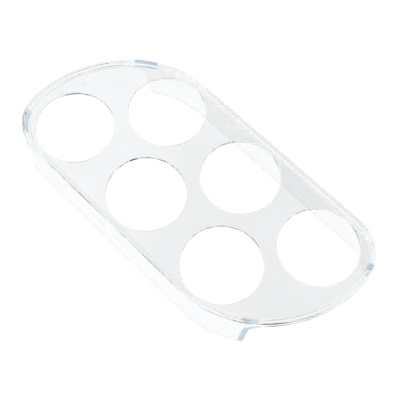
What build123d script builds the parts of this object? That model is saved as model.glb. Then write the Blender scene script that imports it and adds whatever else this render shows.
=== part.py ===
"""Six-egg refrigerator tray: one clear moulding, written out region by region.

Millimetres, +Z up. X runs along the two rows of eggs and Y across them. The origin is the
centre of the plan on the plane that the tray stands on, so the skirts' lower edges are at Z = 0.
The plan looks the same after half a turn about Z, but it has no mirror symmetry.
"""

from build123d import *

import os
from math import asin, atan, cos, degrees, radians, sin, tan

# Overall size, measured at the top of the rim
overall_length = 195.2
overall_width = 91.0
tray_height = 31.0

# Plan outline: three arcs, tangent to each other, round each end
side_radius = 57.0
side_turn = 41.0
end_radius = 67.0
tight_radius = 23.2

# Deck and egg holes
deck_top = 28.5
deck_thickness = 2.0
hole_diameter = 42.0
hole_pitch = 55.0
row_spacing = 41.5
holes_per_row = 3

# Walls: thickness at the rim's top, at the deck and at the skirts' lower edge
rim_thickness = 2.4
deck_wall_thickness = 2.5
skirt_edge_thickness = 2.6
outer_draft = 1.4

# Shallow lips across both ends, between the two full-height skirts. The skirts' end faces lean
# by notch_draft, and are these far from the X axis at Z = 0 on the gentle and the tight arcs.
lip_depth = 3.0
gentle_end_y = 34.6
tight_end_y = 36.2
notch_draft = 4.8
notch_corner_radius = 8.0

# Small radii
rim_edge_radius = 0.6
lower_edge_radius = 0.4
hole_edge_radius = 0.4
corner_blend = 0.5

# Where the regions are split: this far inside the deck's rounded corners and past the skirts' ones
deck_split_margin = 0.05
end_split_margin = 1.5

# Gate vestige, a low disc that the moulding's runner leaves on the deck
gate_x = -86.0
gate_diameter = 1.8
gate_height = 0.3

# Worked out from the above
half_width = overall_width / 2
deck_bottom = deck_top - deck_thickness
lip_bottom = deck_top - lip_depth
notch_lean = lip_bottom * tan(radians(notch_draft))
end_x = overall_length / 2 - end_radius
side_x = end_x + (end_radius - side_radius) * sin(radians(side_turn))
side_y = side_radius - half_width
end_y = side_y + (end_radius - side_radius) * cos(radians(side_turn))
tight_y = half_width - tight_radius
tight_angle = degrees(asin((tight_y - end_y) / (end_radius - tight_radius)))
tight_x = end_x + (end_radius - tight_radius) * cos(radians(tight_angle))
skirt_inner_growth = tray_height * tan(radians(outer_draft)) - skirt_edge_thickness
pocket_depth = tray_height - deck_top
pocket_draft = degrees(atan((deck_wall_thickness - rim_thickness) / pocket_depth))
cavity_draft = degrees(atan((deck_wall_thickness + skirt_inner_growth) / deck_bottom))
deck_edge_growth = -deck_wall_thickness - corner_blend - deck_split_margin
end_split_y = gentle_end_y - notch_lean - notch_corner_radius - end_split_margin


def plan_outline(growth):
    """The edges of the tray's plan outline, moved outwards by growth."""
    side = half_width + growth
    with BuildLine() as outline:
        for way, turn in ((1, 0), (-1, 180)):
            Line((way * tight_x, way * side), (-way * side_x, way * side))
            side_centre = (-way * side_x, -way * side_y)
            CenterArc(side_centre, side_radius + growth, turn + 90, side_turn)
            end_centre = (-way * end_x, -way * end_y)
            CenterArc(end_centre, end_radius + growth, turn + 90 + side_turn, 90 - side_turn + tight_angle)
            tight_centre = (-way * tight_x, -way * tight_y)
            CenterArc(tight_centre, tight_radius + growth, turn + 180 + tight_angle, 90 - tight_angle)
    return outline.edges()


def at_height(shapes, z):
    """Those of the shapes that are centred on the level plane at height z."""
    return shapes.filter_by_position(Axis.Z, z - 0.001, z + 0.001)


def hole_rims(shapes):
    """Those of the edges that are whole circles, which only the egg holes have."""
    return shapes.filter_by(lambda edge: edge.geom_type == GeomType.CIRCLE and edge.is_closed)


# The whole moulding
with BuildPart() as tray:
    # Drafted block, widening towards the skirts' lower edges
    with BuildSketch(Plane.XY.offset(tray_height)):
        make_face(plan_outline(0))
    extrude(amount=-tray_height, taper=-outer_draft)

    # Shallow pocket above the deck, inside the rim
    with BuildSketch(Plane.XY.offset(tray_height)):
        make_face(plan_outline(-rim_thickness))
    extrude(amount=-pocket_depth, taper=pocket_draft, mode=Mode.SUBTRACT)

    # Cavity below the deck
    with BuildSketch(Plane.XY):
        make_face(plan_outline(skirt_inner_growth))
    extrude(amount=deck_bottom, taper=cavity_draft, mode=Mode.SUBTRACT)

    # Both ends cut back to shallow lips, with a rounded corner where each skirt begins
    for turn in (0, 180):
        with BuildSketch(Plane.YZ.rotated((0, 0, turn))):
            with BuildLine():
                Polyline(
                    (-gentle_end_y, 0),
                    (tight_end_y, 0),
                    (tight_end_y - notch_lean, lip_bottom),
                    (notch_lean - gentle_end_y, lip_bottom),
                    close=True,
                )
            make_face()
            fillet(vertices().group_by(Axis.Y)[-1], notch_corner_radius)
        extrude(amount=overall_length, mode=Mode.SUBTRACT)

    # Two rows of egg holes, staggered by half a pitch
    with BuildSketch(Plane.XY.offset(deck_top)):
        for row in (-1, 1):
            with Locations((row * hole_pitch / 4, row * row_spacing / 2)):
                with GridLocations(hole_pitch, 0, holes_per_row, 1):
                    Circle(hole_diameter / 2)
    extrude(amount=-deck_thickness, mode=Mode.SUBTRACT)

    # Rounded edges: the rim, then the skirts' and lips' lower edges and ends
    fillet(at_height(edges(), tray_height), rim_edge_radius)
    lower_edges = edges().filter_by(lambda edge: edge.bounding_box().max.Z < lip_bottom + 0.001)
    smooth_joins = lower_edges.filter_by(Axis.X).filter_by_position(Axis.Z, 1, tray_height)
    fillet(lower_edges - smooth_joins, lower_edge_radius)

    # Rounded corners where the deck meets the walls, then the egg holes' edges
    deck_edges = at_height(edges(), deck_top) + at_height(edges(), deck_bottom)
    fillet(deck_edges - hole_rims(edges()), corner_blend)
    fillet(hole_rims(edges()), hole_edge_radius)

    # Gate vestige on the deck
    with BuildSketch(Plane.XY.offset(deck_top)):
        with Locations((gate_x, 0)):
            Circle(gate_diameter / 2)
    extrude(amount=gate_height)
    fillet(at_height(edges(), deck_top + gate_height), gate_height / 2)

# The deck: the flat plate with the egg holes, out to where it begins to curve into the walls
with BuildPart() as egg_deck:
    add(tray.part)
    with BuildSketch(Plane.XY):
        make_face(plan_outline(deck_edge_growth))
    extrude(amount=tray_height, mode=Mode.INTERSECT)

# The walls: all that is left round the deck, in one ring
with BuildPart() as walls:
    add(tray.part)
    with BuildSketch(Plane.XY):
        make_face(plan_outline(deck_edge_growth))
    extrude(amount=tray_height, mode=Mode.SUBTRACT)

# Each long wall takes in the full-height skirt and the rim above it
with BuildPart() as front_skirt:
    add(walls.part)
    split(bisect_by=Plane.XZ.offset(end_split_y), keep=Keep.TOP)

with BuildPart() as rear_skirt:
    add(walls.part)
    split(bisect_by=Plane.XZ.offset(-end_split_y), keep=Keep.BOTTOM)

# Each end lip is the shallow stretch of wall between the two skirts
with BuildPart() as end_lips:
    add(walls.part)
    split(bisect_by=Plane.XZ.offset(end_split_y), keep=Keep.BOTTOM)
    split(bisect_by=Plane.XZ.offset(-end_split_y), keep=Keep.TOP)

with BuildPart() as left_end_lip:
    add(end_lips.part)
    split(bisect_by=Plane.YZ, keep=Keep.BOTTOM)

with BuildPart() as right_end_lip:
    add(end_lips.part)
    split(bisect_by=Plane.YZ, keep=Keep.TOP)

# One STEP file for each region
os.makedirs("parts", exist_ok=True)
regions = {
    "egg_deck": egg_deck,
    "front_skirt": front_skirt,
    "rear_skirt": rear_skirt,
    "left_end_lip": left_end_lip,
    "right_end_lip": right_end_lip,
}
for name, region in regions.items():
    region.part.label = name
    export_step(region.part, f"parts/{name}.step")
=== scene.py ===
"""A clear polystyrene egg tray on a pale studio floor."""

import math

import bpy
from mathutils import Matrix, Vector


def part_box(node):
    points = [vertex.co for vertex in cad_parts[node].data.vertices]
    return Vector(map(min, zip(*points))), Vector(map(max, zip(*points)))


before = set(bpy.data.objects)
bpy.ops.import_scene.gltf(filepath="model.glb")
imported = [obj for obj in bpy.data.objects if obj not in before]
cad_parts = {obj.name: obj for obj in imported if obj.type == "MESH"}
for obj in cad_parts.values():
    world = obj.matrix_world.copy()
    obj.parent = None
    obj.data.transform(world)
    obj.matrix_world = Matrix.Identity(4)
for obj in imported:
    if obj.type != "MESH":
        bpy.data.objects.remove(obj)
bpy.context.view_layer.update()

MM = 0.001

# Camera, as azimuth and elevation round the aim point, in degrees.
CAMERA_AZIMUTH = 44.64
CAMERA_ELEVATION = 65.13
CAMERA_ROLL = 0.7
CAMERA_DISTANCE = 0.4809
CAMERA_AIM = (0.0086, -0.0037, 0.0285)
CAMERA_LENS = 84.25

# The room's light: pale walls all round, a bluish ceiling with one dark panel, and a key. Each
# edge is where a colour starts to turn into the next and where it ends, as the cosine of an angle
# from straight up or from the panel's middle. The key's spread is in degrees.
WALLS = (0.90, 0.90, 0.91, 1)
CEILING = (0.50, 0.57, 0.65, 1)
CEILING_EDGE = (0.76, 0.92)
PANEL = (0.03, 0.035, 0.05, 1)
PANEL_WAY = (-0.05, 0.35, 0.93)
PANEL_EDGE = (0.935, 0.975)
KEY_STRENGTH = 1.22
KEY_COLOUR = (1.0, 0.98, 0.93)
KEY_SPREAD = 5.0

# The floor reaches this far each way, in metres.
FLOOR_HALF_SIDE = 30.0
FLOOR_COLOUR = (0.9, 0.9, 0.9, 1)

# The plastic: its tint (partly painted shade), the haze's roughness, and the moulded surface's waves.
REFRACTIVE_INDEX = 1.59
# The tint is partly painted shade: it darkens the floor seen through the tray, standing in for the
# tray's own shadow, which is never cast.
TINT_AND_PAINTED_SHADE_DEEP = (0.912, 0.915, 0.913, 1)
TINT_AND_PAINTED_SHADE_PALE = (0.935, 0.938, 0.937, 1)
TINT_PATCH = 22 * MM
HAZE = 0.02
HAZE_PATCH = 14 * MM
WAVE_HEIGHT = 0.03 * MM
WAVE_LENGTH = 16 * MM
# The end faces' inside is a painted reflection: light carried lengthwise through a skirt and mirrored
# by its end, blue from the long way through the plastic.
SKIRT_END_PAINTED_REFLECTION = (0.49, 0.62, 0.74, 1)
SKIRT_END_ROUGHNESS = 0.5

# The span that a noise texture's values mostly keep to.
NOISE_SPAN = (0.3, 0.7)

# The deck and its egg holes. Each hole's wall, with its rounded edges, is within the margin.
DECK_THICKNESS = 2.0 * MM
HOLE_RADIUS = 21.0 * MM
HOLE_MARGIN = 0.6 * MM
HOLE_PITCH = 55.0 * MM
ROW_SPACING = 41.5 * MM

# Faces where two regions meet: how upright they are, and how exactly those between a skirt and
# a lip face along Y and lie on the split.
UPRIGHT_Z = 0.05
SPLIT_Y = 0.999
SPLIT_MARGIN = 0.02 * MM

# The skirts' end faces: how near they are to the X axis, and how much they may face along X and
# have to face along Y. The last one takes in the first 60 degrees of the rounded corner.
SKIRT_END_LIMIT = 37.0 * MM
SKIRT_END_X = 0.02
SKIRT_END_Y = 0.5


class Nodes:
    """A material's node tree, with short calls to add and link nodes."""

    def __init__(self, tree):
        self.tree = tree
        tree.nodes.clear()

    def add(self, kind, **values):
        node = self.tree.nodes.new(kind)
        for name, value in values.items():
            setattr(node, name, value)
        return node

    def link(self, source, target):
        self.tree.links.new(source, target)


def new_material(name):
    material = bpy.data.materials.new(name)
    material.use_nodes = True
    return material, Nodes(material.node_tree)


def finish_material(n, shader):
    """Puts shader on the surface, and lets shadow and diffuse rays straight through it."""
    out = n.add("ShaderNodeOutputMaterial")
    gap = n.add("ShaderNodeBsdfTransparent")
    paths = n.add("ShaderNodeLightPath")
    inner = n.add("ShaderNodeMixShader")
    outer = n.add("ShaderNodeMixShader")
    n.link(paths.outputs["Is Diffuse Ray"], inner.inputs[0])
    n.link(shader.outputs[0], inner.inputs[1])
    n.link(gap.outputs[0], inner.inputs[2])
    n.link(paths.outputs["Is Shadow Ray"], outer.inputs[0])
    n.link(inner.outputs[0], outer.inputs[1])
    n.link(gap.outputs[0], outer.inputs[2])
    n.link(outer.outputs[0], out.inputs["Surface"])


def blend(n, factor, first, second):
    """A colour between first and second, each a colour or a node's output."""
    mix = n.add("ShaderNodeMix", data_type="RGBA")
    n.link(factor, mix.inputs[0])
    for socket, colour in ((mix.inputs[6], first), (mix.inputs[7], second)):
        if isinstance(colour, tuple):
            socket.default_value = colour
        else:
            n.link(colour, socket)
    return mix.outputs[2]


def step(n, value, edge):
    """A number that goes smoothly from 0 to 1 as value goes from edge's first number to its second."""
    level = n.add("ShaderNodeMapRange", interpolation_type="SMOOTHSTEP")
    level.inputs["From Min"].default_value, level.inputs["From Max"].default_value = edge
    n.link(value, level.inputs["Value"])
    return level.outputs[0]


def noise(n, size, low, high, detail=2.0):
    """A number that wanders between low and high over patches of about size."""
    place = n.add("ShaderNodeTexCoord")
    pattern = n.add("ShaderNodeTexNoise")
    pattern.inputs["Scale"].default_value = 1.0 / size
    pattern.inputs["Detail"].default_value = detail
    level = n.add("ShaderNodeMapRange")
    level.inputs["From Min"].default_value, level.inputs["From Max"].default_value = NOISE_SPAN
    level.inputs["To Min"].default_value = low
    level.inputs["To Max"].default_value = high
    n.link(place.outputs["Object"], pattern.inputs["Vector"])
    n.link(pattern.outputs[0], level.inputs["Value"])
    return level.outputs[0]


def clear_shader(n):
    """Polished polystyrene: hardly any tint of its own, but a faint grey painted shade for the tray's
    shadow on the floor, slow waves from the moulding, patches of faint haze.
    """
    glass = n.add("ShaderNodeBsdfPrincipled")
    glass.inputs["IOR"].default_value = REFRACTIVE_INDEX
    glass.inputs["Transmission Weight"].default_value = 1.0
    # Painted shade: the tint darkens what is seen through the plastic, in place of the tray's shadow
    # on the floor beneath.
    n.link(blend(n, noise(n, TINT_PATCH, 0.0, 1.0), TINT_AND_PAINTED_SHADE_DEEP, TINT_AND_PAINTED_SHADE_PALE), glass.inputs["Base Color"])
    n.link(noise(n, HAZE_PATCH, 0.0, HAZE), glass.inputs["Roughness"])
    waves = n.add("ShaderNodeBump")
    waves.inputs["Strength"].default_value = 1.0
    waves.inputs["Distance"].default_value = WAVE_HEIGHT
    n.link(noise(n, WAVE_LENGTH, 0.0, 1.0, 1.0), waves.inputs["Height"])
    n.link(waves.outputs[0], glass.inputs["Normal"])
    return glass


def clear_plastic():
    """The tray's own surface."""
    material, n = new_material("clear_polystyrene")
    finish_material(n, clear_shader(n))
    return material


def skirt_end():
    """The same plastic from outside. From inside, a painted reflection: a matt pale blue face in place
    of light carried a long way through the skirt and mirrored by its end face.
    """
    material, n = new_material("skirt_end")
    # Painted reflection: an opaque, matt blue face stands in for what the end face mirrors from
    # inside.
    inside = n.add("ShaderNodeBsdfPrincipled")
    inside.inputs["Base Color"].default_value = SKIRT_END_PAINTED_REFLECTION
    inside.inputs["Roughness"].default_value = SKIRT_END_ROUGHNESS
    inside.inputs["IOR"].default_value = REFRACTIVE_INDEX
    side = n.add("ShaderNodeNewGeometry")
    both = n.add("ShaderNodeMixShader")
    n.link(side.outputs["Backfacing"], both.inputs[0])
    n.link(clear_shader(n).outputs[0], both.inputs[1])
    n.link(inside.outputs[0], both.inputs[2])
    finish_material(n, both)
    return material


def join_plane():
    """No surface at all, where two regions of the one moulding meet."""
    material, n = new_material("join_plane")
    out = n.add("ShaderNodeOutputMaterial")
    gap = n.add("ShaderNodeBsdfTransparent")
    n.link(gap.outputs[0], out.inputs["Surface"])
    return material


def in_a_hole(point):
    """Whether a point is on the wall of one of the six egg holes."""
    for row in (-1, 1):
        for place in (-1, 0, 1):
            x, y = row * HOLE_PITCH / 4 + place * HOLE_PITCH, row * ROW_SPACING / 2
            if math.hypot(point.x - x, point.y - y) < HOLE_RADIUS + HOLE_MARGIN:
                return True
    return False


def is_join(name, face, deck, split_y):
    """Whether a face lies where two regions of the one moulding meet."""
    c, normal = face.center, face.normal
    on_split = abs(normal.y) > SPLIT_Y and abs(abs(c.y) - split_y) < SPLIT_MARGIN
    if on_split and name != "egg_deck":
        return True
    if abs(normal.z) > UPRIGHT_Z or not deck[0] < c.z < deck[1]:
        return False
    if name == "egg_deck":
        return not in_a_hole(c)
    return normal.x * c.x + normal.y * c.y < 0


def is_skirt_end(name, face, lip_low):
    """Whether a face is on the leaning end of a full-height skirt, or on the start of its corner."""
    c, normal = face.center, face.normal
    if "skirt" not in name or c.z > lip_low or abs(c.y) > SKIRT_END_LIMIT:
        return False
    return abs(normal.y) > SKIRT_END_Y and abs(normal.x) < SKIRT_END_X and normal.y * c.y < 0


def assign(nodes, materials):
    """Gives each face of each node the plastic, the skirt end's painted reflection, or no surface at
    all.
    """
    deck_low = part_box("egg_deck")[0]
    lip_low, lip_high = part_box("left_end_lip")
    deck = (deck_low[2], deck_low[2] + DECK_THICKNESS)
    for name, node in nodes.items():
        mesh = node.data
        mesh.materials.clear()
        for material in materials:
            mesh.materials.append(material)
        for face in mesh.polygons:
            face.material_index = 0
            if is_join(name, face, deck, lip_high[1]):
                face.material_index = 1
            elif is_skirt_end(name, face, lip_low[2]):
                face.material_index = 2


def set_camera():
    """A long lens, high above the front right."""
    data = bpy.data.cameras.new("camera")
    data.lens = CAMERA_LENS
    data.sensor_width = 36.0
    data.clip_start, data.clip_end = 0.01, 100.0
    camera = bpy.data.objects.new("camera", data)
    bpy.context.scene.collection.objects.link(camera)
    a, e = math.radians(CAMERA_AZIMUTH), math.radians(CAMERA_ELEVATION)
    back = Vector((math.sin(a) * math.cos(e), -math.cos(a) * math.cos(e), math.sin(e)))
    camera.location = Vector(CAMERA_AIM) + back * CAMERA_DISTANCE
    turn = back.to_track_quat("Z", "Y").to_matrix().to_4x4()
    turn = turn @ Matrix.Rotation(math.radians(CAMERA_ROLL), 4, "Z")
    camera.matrix_world = Matrix.Translation(camera.location) @ turn
    bpy.context.scene.camera = camera


def set_floor():
    """A plain, pale, matt floor."""
    mesh = bpy.data.meshes.new("floor")
    r = FLOOR_HALF_SIDE
    mesh.from_pydata([(-r, -r, 0), (r, -r, 0), (r, r, 0), (-r, r, 0)], [], [(0, 1, 2, 3)])
    floor = bpy.data.objects.new("floor", mesh)
    bpy.context.scene.collection.objects.link(floor)
    material, n = new_material("floor")
    out = n.add("ShaderNodeOutputMaterial")
    white = n.add("ShaderNodeBsdfDiffuse")
    white.inputs["Color"].default_value = FLOOR_COLOUR
    n.link(white.outputs[0], out.inputs["Surface"])
    mesh.materials.append(material)


def set_room():
    """What the plastic mirrors, and the soft light from all round."""
    world = bpy.data.worlds.new("studio")
    bpy.context.scene.world = world
    world.use_nodes = True
    n = Nodes(world.node_tree)
    out = n.add("ShaderNodeOutputWorld")
    sky = n.add("ShaderNodeBackground")
    n.link(sky.outputs[0], out.inputs["Surface"])
    place = n.add("ShaderNodeTexCoord")
    way = n.add("ShaderNodeSeparateXYZ")
    panel = n.add("ShaderNodeVectorMath", operation="DOT_PRODUCT")
    panel.inputs[1].default_value = Vector(PANEL_WAY).normalized()
    n.link(place.outputs["Generated"], way.inputs[0])
    n.link(place.outputs["Generated"], panel.inputs[0])
    room = blend(n, step(n, way.outputs["Z"], CEILING_EDGE), WALLS, CEILING)
    room = blend(n, step(n, panel.outputs["Value"], PANEL_EDGE), room, PANEL)
    n.link(room, sky.inputs["Color"])


def set_key():
    """A soft light from straight above, which the plastic doesn't mirror."""
    sun_data = bpy.data.lights.new("key", "SUN")
    sun_data.energy = KEY_STRENGTH
    sun_data.color = KEY_COLOUR
    sun_data.angle = math.radians(KEY_SPREAD)
    sun = bpy.data.objects.new("key", sun_data)
    bpy.context.scene.collection.objects.link(sun)
    sun.visible_glossy = False
    sun.visible_transmission = False


def set_light_paths():
    """Enough turns for light to find its way out of the clear walls. The mirrored turns are fewer,
    which keeps the arcs at the holes' tops dark."""
    scene = bpy.context.scene
    scene.view_settings.view_transform = "Standard"
    scene.cycles.max_bounces = 32
    scene.cycles.transmission_bounces = 32
    scene.cycles.glossy_bounces = 18
    scene.cycles.transparent_max_bounces = 64


assign(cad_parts, (clear_plastic(), join_plane(), skirt_end()))
set_camera()
set_floor()
set_room()
set_key()
set_light_paths()
